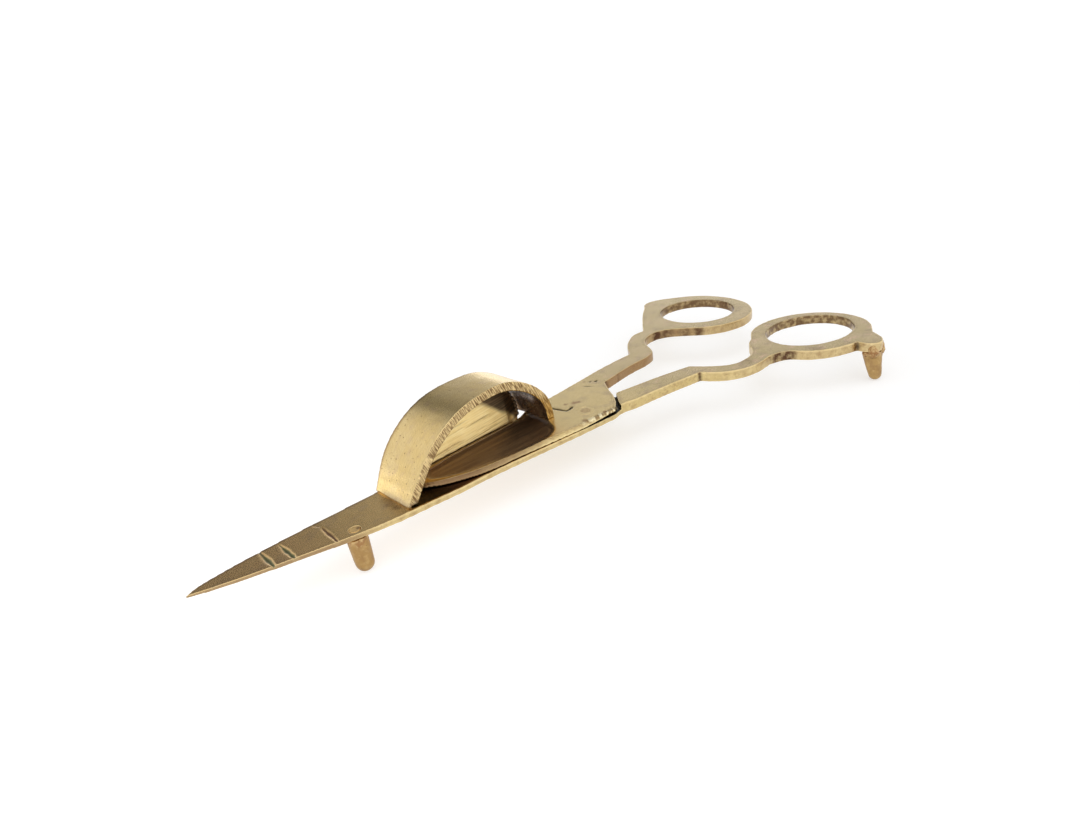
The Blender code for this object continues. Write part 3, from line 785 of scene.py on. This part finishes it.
# The leaf: brown tarnish with a painted reflection of the arch's dark inside, painted shade at its end by the
# arch's right leg, and a painted highlight on its lip
LEAF_BROWN = (0.24, 0.14, 0.07)
LEAF_GOLD = (0.46, 0.29, 0.14)
LEAF_SHADE = (0.085, 0.05, 0.03)
LIP_HIGHLIGHT = (0.62, 0.56, 0.56)
ARCH_GOLD = (0.85, 0.63, 0.27)
ARCH_PALE = (0.86, 0.67, 0.34)
BRUSHED_DARK = (0.66, 0.47, 0.20)
BRUSHED_BROWN = (0.58, 0.40, 0.17)
ARCH_PINK = (0.66, 0.47, 0.29)
FILED_GOLD = (0.76, 0.57, 0.28)
FILED_BROWN = (0.22, 0.13, 0.055)
BACK_GOLD = (0.93, 0.71, 0.32)
BACK_OCHRE = (0.86, 0.64, 0.27)
SCRATCH_PALE = (1.0, 0.86, 0.48)
CROSSING_PALE = (0.98, 0.84, 0.46)
SCRATCH_BROWN = (0.40, 0.23, 0.08)
CAST_BROWN = (0.44, 0.28, 0.11)
CAST_GOLD = (0.66, 0.47, 0.21)
CAST_DARK = (0.30, 0.17, 0.06)

# Tarnish, dirt, solder and braze, and painted shade
TARNISH = (0.30, 0.17, 0.08)
DULL_PINK = (0.48, 0.34, 0.23)
DULL_OLIVE = (0.45, 0.34, 0.20)
UMBER = (0.22, 0.12, 0.06)
RED_BROWN = (0.36, 0.19, 0.08)
SHADED_BURNT_RED = (0.20, 0.095, 0.045)
HOLE_BROWN = (0.15, 0.085, 0.045)
STAIN_BROWN = (0.11, 0.055, 0.03)
INNER_BROWN = (0.30, 0.17, 0.09)
SPECK_BROWN = (0.16, 0.085, 0.04)
SHADE_UMBER = (0.14, 0.08, 0.04)
CRESCENT_BROWN = (0.25, 0.13, 0.06)
# Black for soot and dirt in hollows, and for painted shade in and under the arch and on the back plate
SOOT_AND_SHADE = (0.030, 0.019, 0.012)
CRACK_AND_GAP_SHADE_BLACK = (0.012, 0.009, 0.007)
VERDIGRIS = (0.17, 0.17, 0.08)
SOLDER_GREY = (0.30, 0.25, 0.18)
SOLDER_BROWN = (0.17, 0.11, 0.06)
BACK_SOLDER_BROWN = (0.34, 0.22, 0.10)
BRAZE_RED = (0.30, 0.14, 0.06)
BRAZE_GOLD = (0.58, 0.41, 0.20)

# The depth of each material's bump
PLATES_BUMP = 0.02
BOX_BUMP = 0.02
BACK_BUMP = 0.03
CAST_BUMP = 0.05


def flat_brass(name):
    """The plates: dull and greyish on their flats, golden with brown tarnish on their sides."""
    b = Brass(name)
    spots = b.noise(0.7, 4.0)
    grain = b.noise(9.0, 3.0)
    strokes = b.noise(1.0, 3.0, b.stretched(0.5, 7.0, 2.0))
    rings = b.mixed(b.spread(0.12, 4.0, 0.35, 0.65), GREY_BRASS, OLIVE_BRASS)
    blush = b.between(b.noise(0.22, 3.0, b.stretched(1.0, 1.6, 1.0)), 0.55, 0.72)
    flat = b.mixed(b.along_x(-24.0, -8.0), b.mixed(blush, rings, PINK_BRASS), PLATE_BRASS)
    flat = b.mixed(b.along_x(2.0, 12.0), flat, BRONZE)
    flat = b.mixed(b.along_x(52.0, 70.0), flat, RED_BRONZE)
    flat = b.mixed(b.times(b.between(strokes, 0.35, 0.7), 0.25), flat, OLIVE_BRASS)
    patchiness = b.between(b.along_x(-20.0, 0.0), 0.0, 1.0, 0.42, 0.28)
    flat = b.mixed(b.times(b.spread(0.3, 5.0, 0.5, 0.66), patchiness), flat, DULL_PINK)
    flat = b.mixed(b.spread(3.0, 4.0, 0.5, 0.72, 0.25), flat, DULL_OLIVE)
    side = b.mixed(b.along_x(-52.0, -30.0), RING_SIDE, GOLD_SIDE)
    side = b.mixed(b.times(b.along_x(50.0, 62.0), 0.85), side, BROWN_SIDE)
    side = b.mixed(b.times(b.between(spots, 0.45, 0.75), 0.5), side, TARNISH)
    side = b.mixed(b.spread(0.3, 4.0, 0.45, 0.75, 0.45), side, PALE_GOLD)
    side = b.mixed(b.spread(1.8, 4.0, 0.56, 0.7, 0.5), side, TARNISH)
    colour = b.mixed(b.upward(), side, flat)
    border = b.times(b.mask("border"), b.between(spots, 0.25, 0.6, 0.1, 0.5))
    colour = b.mixed(border, colour, TARNISH)
    colour = b.mixed(b.times(b.mask("wear"), 0.45), colour, PALE_GOLD)
    colour = b.mixed(b.times(b.mask("bright"), 0.85), colour, BRIGHT_GOLD)
    colour = b.mixed(b.mask("brown"), colour, UMBER)
    # The leaf's hollow: brown tarnish with streaks, which also stands for a painted reflection of the arch's
    # dark inside; painted shade darkens its end by the arch's right leg
    streaks = b.between(b.noise(1.0, 4.0, b.stretched(0.06, 0.9, 0.5)), 0.3, 0.75)
    leaf = b.mixed(streaks, LEAF_BROWN, LEAF_GOLD)
    leaf = b.mixed(b.times(b.along_x(20.0, 8.0), 0.66), leaf, LEAF_SHADE)
    colour = b.mixed(b.mask("leaf"), colour, leaf)
    # Painted highlight on the leaf's raised end
    colour = b.mixed(b.times(b.mask("lip"), 0.8), colour, LIP_HIGHLIGHT)
    colour = b.mixed(b.times(b.mask("dull"), 0.85), colour, TARNISH)
    hole = b.times(b.mask("hole"), b.between(spots, 0.3, 0.6, 0.25, 0.9))
    colour = b.mixed(hole, colour, HOLE_BROWN)
    stain = b.times(b.mask("stain"), b.between(spots, 0.3, 0.6, 0.4, 1.0))
    colour = b.mixed(stain, colour, STAIN_BROWN)
    colour = b.mixed(b.times(b.mask("red"), 0.7), colour, RED_BROWN)
    clean = b.math("SUBTRACT", 1.0, b.times(b.mask("leaf"), 0.9))
    pits = b.spread(2.2, 2.0, 0.74, 0.78, 0.6)
    dirt = b.times(b.math("MAXIMUM", b.times(b.mask("hollow"), 0.8), pits), clean)
    colour = b.mixed(dirt, colour, SOOT_AND_SHADE)
    # Painted shade under the arch with soot: red-brown towards the right leg, black towards the left foot
    burnt_and_arch_shade = b.mixed(b.along_x(26.0, 40.0), SHADED_BURNT_RED, SOOT_AND_SHADE)
    colour = b.mixed(b.mask("soot_and_arch_shade"), colour, burnt_and_arch_shade)
    # Black in the upper plate's cracks, pits and scratch, and painted shade in the gap and seam at the lap's
    # end
    colour = b.mixed(b.mask("crack_and_gap_shade"), colour, CRACK_AND_GAP_SHADE_BLACK)
    colour = b.mixed(b.mask("cut"), colour, b.mixed(b.along_x(61.5, 64.0), UMBER, VERDIGRIS))
    rough = b.math("ADD", b.between(grain, 0.2, 0.8, 0.22, 0.33), b.times(dirt, 0.3))
    height = b.math("ADD", b.times(grain, 0.3), b.times(strokes, 0.7))
    metallic = b.between(b.mask("leaf"), 0.0, 1.0, 1.0, 0.7)
    return b.finish(colour, rough, height, PLATES_BUMP, metallic)


def box_brass(name):
    """The box: satin gold outside, brushed, filed along its near edge, and sooty inside with painted shade
    there, black towards the right leg.
    """
    b = Brass(name)
    arc, radius = b.mask("arc"), b.mask("radius")
    x, y, z = b.add("ShaderNodeSeparateXYZ", {0: b.place}).outputs
    strokes_across, strokes_along = b.math("ADD", arc, y), b.math("SUBTRACT", arc, y)
    strokes = b.lines(b.times(strokes_across, 5.0), b.times(strokes_along, 0.35), 4.0)
    fine = b.lines(b.times(radius, 9.0), b.times(arc, 0.5))
    brushed = b.lines(b.times(arc, 0.22), b.times(y, 4.0), 4.0, 0.65)
    grain = b.noise(7.0, 3.0)
    colour = b.mixed(b.spread(0.15, 4.0, 0.3, 0.7), ARCH_GOLD, ARCH_PALE)
    colour = b.mixed(b.times(b.between(strokes, 0.4, 0.65), 0.4), colour, BRUSHED_DARK)
    colour = b.mixed(b.times(b.between(brushed, 0.42, 0.62), 0.28), colour, BRUSHED_BROWN)
    colour = b.mixed(b.spread(0.5, 4.0, 0.52, 0.7, 0.35), colour, ARCH_PINK)
    colour = b.mixed(b.times(b.mask("wear"), 0.5), colour, PALE_GOLD)
    colour = b.mixed(b.times(b.mask("border"), 0.3), colour, TARNISH)
    # Painted shade along the arch's rounded far edge
    colour = b.mixed(b.mask("brown"), colour, UMBER)
    # Painted shade with soot inside the arch: dark brown, and black towards the right leg where the shade
    # mask is
    inner_soot_and_shade = b.times(b.mask("inner"), b.spread(0.3, 3.0, 0.1, 0.5))
    colour = b.mixed(inner_soot_and_shade, colour, INNER_BROWN)
    black = b.times(b.mask("shade"), b.mask("inner"))
    black = b.times(black, b.between(b.noise(0.25, 3.0), 0.35, 0.6, 0.1, 0.7))
    colour = b.mixed(black, colour, SOOT_AND_SHADE)
    file_across = b.math("SUBTRACT", b.times(x, FILE_X), b.times(z, FILE_Z))
    file_along = b.math("ADD", b.times(x, FILE_Z), b.times(z, FILE_X))
    ticks = b.lines(b.times(file_across, 5.2), b.times(file_along, 0.35), 2.0, 0.6)
    filed = b.mixed(b.between(ticks, 0.42, 0.58), FILED_BROWN, FILED_GOLD)
    colour = b.mixed(b.mask("teeth"), colour, filed)
    specks = b.spread(1.9, 3.0, 0.64, 0.70, 0.7)
    dirt = b.math("MAXIMUM", b.times(b.mask("hollow"), 0.8), specks)
    colour = b.mixed(dirt, colour, SPECK_BROWN)
    solder = b.mixed(b.spread(1.6, 3.0, 0.4, 0.65), SOLDER_GREY, SOLDER_BROWN)
    colour = b.mixed(b.times(b.mask("solder"), 0.85), colour, solder)
    rough = b.math("ADD", b.between(strokes, 0.2, 0.8, 0.2, 0.28), b.times(dirt, 0.3))
    rough = b.math("ADD", rough, b.times(b.mask("solder"), 0.2))
    height = b.math("ADD", b.times(b.math("ADD", grain, fine), 0.3), b.times(strokes, 0.7))
    height = b.math("ADD", height, b.times(brushed, 0.8))
    scattering = b.math("MAXIMUM", b.times(b.mask("inner"), 0.4), b.times(b.mask("solder"), 0.6))
    return b.finish(colour, rough, height, BOX_BUMP, b.math("SUBTRACT", 1.0, scattering))


def plate_brass(name):
    """The box's back plate: scratched yellow that scatters light, with painted shade of the arch, darkest
    towards the pivot.

    Its arc and radius are the distances along its scratches and across them."""
    b = Brass(name)
    arc, radius = b.mask("arc"), b.mask("radius")
    scratches = b.lines(b.times(arc, 0.1), b.times(radius, 3.0), 4.0, 0.65)
    crossing = b.lines(b.times(arc, 3.5), b.times(radius, 0.3))
    scored = b.between(radius, 15.0, 12.0, 0.2, 1.0)
    colour = b.mixed(b.spread(0.25, 4.0, 0.3, 0.7), BACK_GOLD, BACK_OCHRE)
    colour = b.mixed(b.times(b.between(scratches, 0.5, 0.66), 0.6), colour, SCRATCH_PALE)
    dark_scratches = b.times(b.times(b.between(scratches, 0.49, 0.36), 0.85), scored)
    colour = b.mixed(dark_scratches, colour, SCRATCH_BROWN)
    colour = b.mixed(b.times(b.between(crossing, 0.55, 0.75), 0.3), colour, CROSSING_PALE)
    colour = b.mixed(b.mask("solder"), colour, BACK_SOLDER_BROWN)
    colour = b.mixed(b.times(b.mask("hollow"), 0.8), colour, SOOT_AND_SHADE)
    # Painted shade of the arch on the plate's inner face
    shade = b.mixed(b.between(scratches, 0.4, 0.6), SOOT_AND_SHADE, SHADE_UMBER)
    colour = b.mixed(b.times(b.mask("shade"), 0.95), colour, shade)
    height_z = b.add("ShaderNodeSeparateXYZ", {0: b.place}).outputs["Z"]
    dish = b.times(height_z, -BACK_DISH / BACK_BUMP)
    height = b.math("ADD", b.math("ADD", scratches, b.times(crossing, 0.4)), dish)
    return b.finish(colour, roughness=0.4, height=height, depth=BACK_BUMP, metallic=0.8)


def cast_brass(name):
    """The feet: brown and golden in patches, rough from the file and red-brown at the brazed joint."""
    b = Brass(name)
    spots = b.noise(0.6, 5.0)
    grain = b.noise(5.0, 4.0)
    colour = b.mixed(b.times(b.between(spots, 0.4, 0.75), 0.7), CAST_BROWN, TARNISH)
    colour = b.mixed(b.spread(0.9, 3.0, 0.5, 0.7, 0.5), colour, CAST_GOLD)
    colour = b.mixed(b.times(b.mask("wear"), 0.4), colour, PALE_GOLD)
    colour = b.mixed(b.times(b.along_x(30.0, 50.0), 0.35), colour, CAST_DARK)
    braze = b.mixed(b.spread(1.4, 3.0, 0.42, 0.6), BRAZE_RED, BRAZE_GOLD)
    colour = b.mixed(b.times(b.mask("braze"), 0.75), colour, braze)
    dirt = b.math("MAXIMUM", b.times(b.mask("hollow"), 0.8), b.spread(1.6, 2.0, 0.7, 0.76, 0.7))
    colour = b.mixed(dirt, colour, SOOT_AND_SHADE)
    colour = b.mixed(b.mask("tenon"), colour, BRONZE)
    colour = b.mixed(b.times(b.mask("crescent"), 0.7), colour, CRESCENT_BROWN)
    rough = b.math("ADD", b.between(grain, 0.2, 0.8, 0.3, 0.46), b.times(dirt, 0.3))
    return b.finish(colour, rough, grain, CAST_BUMP)


# ---------------------------------------------------------------- studio

# Lengths in this section are in metres
STAGE_RADIUS = 1.5
STAGE_BEND = 0.3
BEND_STEPS = 8
STAGE_RISE = 0.35
STAGE_TURN_STEPS = 96
STAGE_WHITE = 0.47
# The floor's own glow: its strength within the nearer distance of a point under the rings, and its
# strength beyond the farther one
GLOW_CENTRE = (-0.07, 0.0, 0.0)
GLOW_REACH = (0.07, 0.25)
GLOW_NEAR, GLOW_FAR = 0.58, 0.95
# The sky's brightness, from its -X side at 0 to its +X side at 1
SKY = [
    (0.08, 0.56), (0.20, 0.66), (0.26, 0.52), (0.335, 0.34), (0.40, 0.20), (0.46, 0.15), (0.525, 0.55),
    (0.63, 0.90), (0.75, 0.92),
]
# Its brightness overhead and on the open side, and where each begins and is full, as a direction's z or y
OVERHEAD = 1.3
OVERHEAD_Z = (0.82, 0.95)
FRONT = 1.0
FRONT_Y = (-0.1, 0.3)


def grey(value):
    return (value, value, value, 1.0)


def set_ramp(ramp, stops):
    while len(ramp.elements) < len(stops):
        ramp.elements.new(0.5)
    for element, (place, value) in zip(ramp.elements, stops):
        element.position = place
        element.color = grey(value)


def stage_white():
    white = bpy.data.materials.new("stage_white")
    white.use_nodes = True
    tree = white.node_tree
    shader = tree.nodes["Principled BSDF"]
    shader.inputs["Base Color"].default_value = grey(STAGE_WHITE)
    shader.inputs["Roughness"].default_value = 1.0
    shader.inputs["Specular IOR Level"].default_value = 0.0
    shader.inputs["Emission Color"].default_value = grey(1.0)
    place = tree.nodes.new("ShaderNodeTexCoord")
    shifted = tree.nodes.new("ShaderNodeVectorMath")
    shifted.operation = "SUBTRACT"
    shifted.inputs[1].default_value = GLOW_CENTRE
    distance = tree.nodes.new("ShaderNodeVectorMath")
    distance.operation = "LENGTH"
    glow = tree.nodes.new("ShaderNodeMapRange")
    glow.inputs["From Min"].default_value, glow.inputs["From Max"].default_value = GLOW_REACH
    glow.inputs["To Min"].default_value = GLOW_NEAR
    glow.inputs["To Max"].default_value = GLOW_FAR
    tree.links.new(place.outputs["Object"], shifted.inputs[0])
    tree.links.new(shifted.outputs["Vector"], distance.inputs[0])
    tree.links.new(distance.outputs["Value"], glow.inputs["Value"])
    tree.links.new(glow.outputs["Result"], shader.inputs["Emission Strength"])
    return white


def make_stage():
    """A white floor that curves up into a low white wall all round. Its glow makes the shadows faint."""
    profile = [(0.0, 0.0), (STAGE_RADIUS, 0.0)]
    for step in range(1, BEND_STEPS + 1):
        angle = math.pi / 2 * step / BEND_STEPS
        outwards, upwards = STAGE_BEND * math.sin(angle), STAGE_BEND * (1.0 - math.cos(angle))
        profile.append((STAGE_RADIUS + outwards, upwards))
    profile.append((STAGE_RADIUS + STAGE_BEND, STAGE_RISE))
    mesh = bpy.data.meshes.new("stage")
    edges = [(i, i + 1) for i in range(len(profile) - 1)]
    mesh.from_pydata([(x, 0.0, z) for x, z in profile], edges, [])
    stage = new_object("stage", mesh)
    screw = stage.modifiers.new("turn", "SCREW")
    screw.steps = STAGE_TURN_STEPS
    screw.render_steps = STAGE_TURN_STEPS
    screw.use_merge_vertices = True
    screw.merge_threshold = 0.00001
    stage.data = evaluated_mesh(stage)
    stage.modifiers.clear()
    stage.data.shade_smooth()
    stage.data.materials.append(stage_white())


def sky_step(tree, value, low, high):
    """0 below low, 1 above high and smooth between, as a node's output."""
    step = tree.nodes.new("ShaderNodeMapRange")
    step.interpolation_type = "SMOOTHSTEP"
    step.inputs["From Min"].default_value = low
    step.inputs["From Max"].default_value = high
    tree.links.new(value, step.inputs["Value"])
    return step.outputs["Result"]


def sky_mix(tree, share, under, brightness):
    """A colour with a share of grey of some brightness over it."""
    mix = tree.nodes.new("ShaderNodeMix")
    mix.data_type = "RGBA"
    mix.inputs[7].default_value = grey(brightness)
    tree.links.new(share, mix.inputs[0])
    tree.links.new(under, mix.inputs[6])
    return mix.outputs[2]


def make_sky():
    """Light all round: bright on the tip's side, the open side and overhead, less so on the rings' side,
    with a dim band between the rings' side and the tip's."""
    world = bpy.data.worlds.new("studio")
    world.use_nodes = True
    bpy.context.scene.world = world
    tree = world.node_tree
    direction = tree.nodes.new("ShaderNodeTexCoord")
    parts = tree.nodes.new("ShaderNodeSeparateXYZ")
    tree.links.new(direction.outputs["Generated"], parts.inputs[0])
    lean = tree.nodes.new("ShaderNodeMapRange")
    lean.inputs["From Min"].default_value = -1.0
    tree.links.new(parts.outputs["X"], lean.inputs["Value"])
    ramp = tree.nodes.new("ShaderNodeValToRGB")
    set_ramp(ramp.color_ramp, SKY)
    tree.links.new(lean.outputs["Result"], ramp.inputs["Fac"])
    front = sky_mix(tree, sky_step(tree, parts.outputs["Y"], *FRONT_Y), ramp.outputs["Color"], FRONT)
    sky = sky_mix(tree, sky_step(tree, parts.outputs["Z"], *OVERHEAD_Z), front, OVERHEAD)
    tree.links.new(sky, tree.nodes["Background"].inputs["Color"])


def make_camera():
    """A camera at the photograph's angle, from a fit of the part's outline."""
    data = bpy.data.cameras.new("camera")
    data.lens = 25.1
    data.sensor_width = 36.0
    data.clip_start = 0.005
    data.clip_end = 20.0
    camera = new_object("camera", data)
    camera.location = (0.09844, 0.11883, 0.07989)
    camera.rotation_euler = [math.radians(angle) for angle in (65.418, 7.945, 139.043)]
    bpy.context.scene.camera = camera


def main():
    make_camera()
    make_stage()
    make_sky()
    bpy.context.scene.view_settings.view_transform = "Standard"
    flat, box = flat_brass("flat_brass"), box_brass("box_brass")
    plate, cast = plate_brass("plate_brass"), cast_brass("cast_brass")
    made = [
        (make_lower_blade(), flat), (make_upper_blade(), flat), (make_rivet(), flat),
        (make_arch(), box), (make_back_plate(), plate),
        (make_foot("front_foot_brass", "front_foot", LOWER, 61, FRONT_FOOT_BEADS, BLADE_TOP), cast),
        (make_foot("rear_foot_near_brass", "rear_foot_near", LOWER, 71, NEAR_FOOT_BEADS, PLATE_TOP), cast),
        (make_foot("rear_foot_far_brass", "rear_foot_far", UPPER, 81, FAR_FOOT_BEADS, PLATE_TOP), cast),
    ]
    for piece, material in made:
        piece.data.materials.clear()
        piece.data.materials.append(material)


main()
